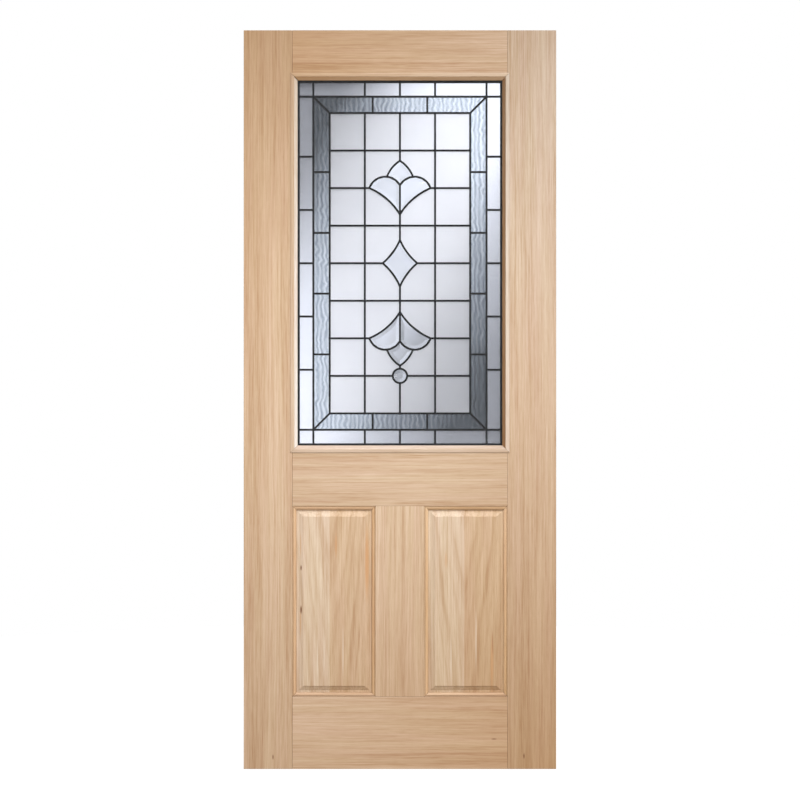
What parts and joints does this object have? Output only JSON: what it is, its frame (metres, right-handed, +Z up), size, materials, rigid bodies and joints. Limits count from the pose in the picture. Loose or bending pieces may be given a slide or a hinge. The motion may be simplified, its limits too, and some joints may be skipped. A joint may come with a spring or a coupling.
{
  "type": "glazed external door leaf",
  "caption": "Oak external door leaf with raised lower panels and a sealed leaded light with bevelled sprays.",
  "frame": {"origin": "on the hanging edge, the picture's left edge, at the middle of the leaf's height and of its thickness", "axes": "+X from the hanging edge to the lock edge, +Y from the front face, which the picture shows, to the back, +Z up"},
  "size_m": [0.838, 0.048, 1.981],
  "materials": {
    "oak": "unfinished oak, sanded, satin",
    "clear_glass": "clear float glass",
    "obscure_glass": "fine stippled obscure glass",
    "tinted_glass": "blue-grey rippled water glass",
    "bevelled_glass": "polished, bevelled on the front",
    "came": "black patinated lead",
    "spacer": "black"
  },
  "bodies": {
    "root": {"hanging_stile": "oak", "lock_stile": "oak", "top_rail": "oak", "lock_rail": "oak", "bottom_rail": "oak", "muntin": "oak", "left_panel": "oak", "right_panel": "oak", "left_panel_moulding_front_top": "oak", "left_panel_moulding_front_bottom": "oak", "left_panel_moulding_front_left": "oak", "left_panel_moulding_front_right": "oak", "left_panel_moulding_back_top": "oak", "left_panel_moulding_back_bottom": "oak", "left_panel_moulding_back_left": "oak", "left_panel_moulding_back_right": "oak", "right_panel_moulding_front_top": "oak", "right_panel_moulding_front_bottom": "oak", "right_panel_moulding_front_left": "oak", "right_panel_moulding_front_right": "oak", "right_panel_moulding_back_top": "oak", "right_panel_moulding_back_bottom": "oak", "right_panel_moulding_back_left": "oak", "right_panel_moulding_back_right": "oak", "glazing_bead_front_top": "oak", "glazing_bead_front_bottom": "oak", "glazing_bead_front_left": "oak", "glazing_bead_front_right": "oak", "glazing_bead_back_top": "oak", "glazing_bead_back_bottom": "oak", "glazing_bead_back_left": "oak", "glazing_bead_back_right": "oak", "front_pane": "clear_glass", "back_pane": "clear_glass", "border_glass_top": "obscure_glass", "border_glass_bottom": "obscure_glass", "border_glass_left": "obscure_glass", "border_glass_right": "obscure_glass", "field_glass_row_1": "obscure_glass", "field_glass_row_2": "obscure_glass", "field_glass_row_3": "obscure_glass", "field_glass_row_4": "obscure_glass", "field_glass_row_5": "obscure_glass", "field_glass_row_6": "obscure_glass", "field_glass_row_7": "obscure_glass", "field_glass_row_8": "obscure_glass", "tinted_glass_top": "tinted_glass", "tinted_glass_bottom": "tinted_glass", "tinted_glass_left": "tinted_glass", "tinted_glass_right": "tinted_glass", "top_spray_left_petal": "bevelled_glass", "top_spray_right_petal": "bevelled_glass", "top_spray_crown": "bevelled_glass", "bottom_spray_left_petal": "bevelled_glass", "bottom_spray_right_petal": "bevelled_glass", "bottom_spray_crown": "bevelled_glass", "centre_star": "bevelled_glass", "round_jewel": "bevelled_glass", "came_lattice": "came", "spacer_frame": "spacer"}
  },
  "joints": []
}
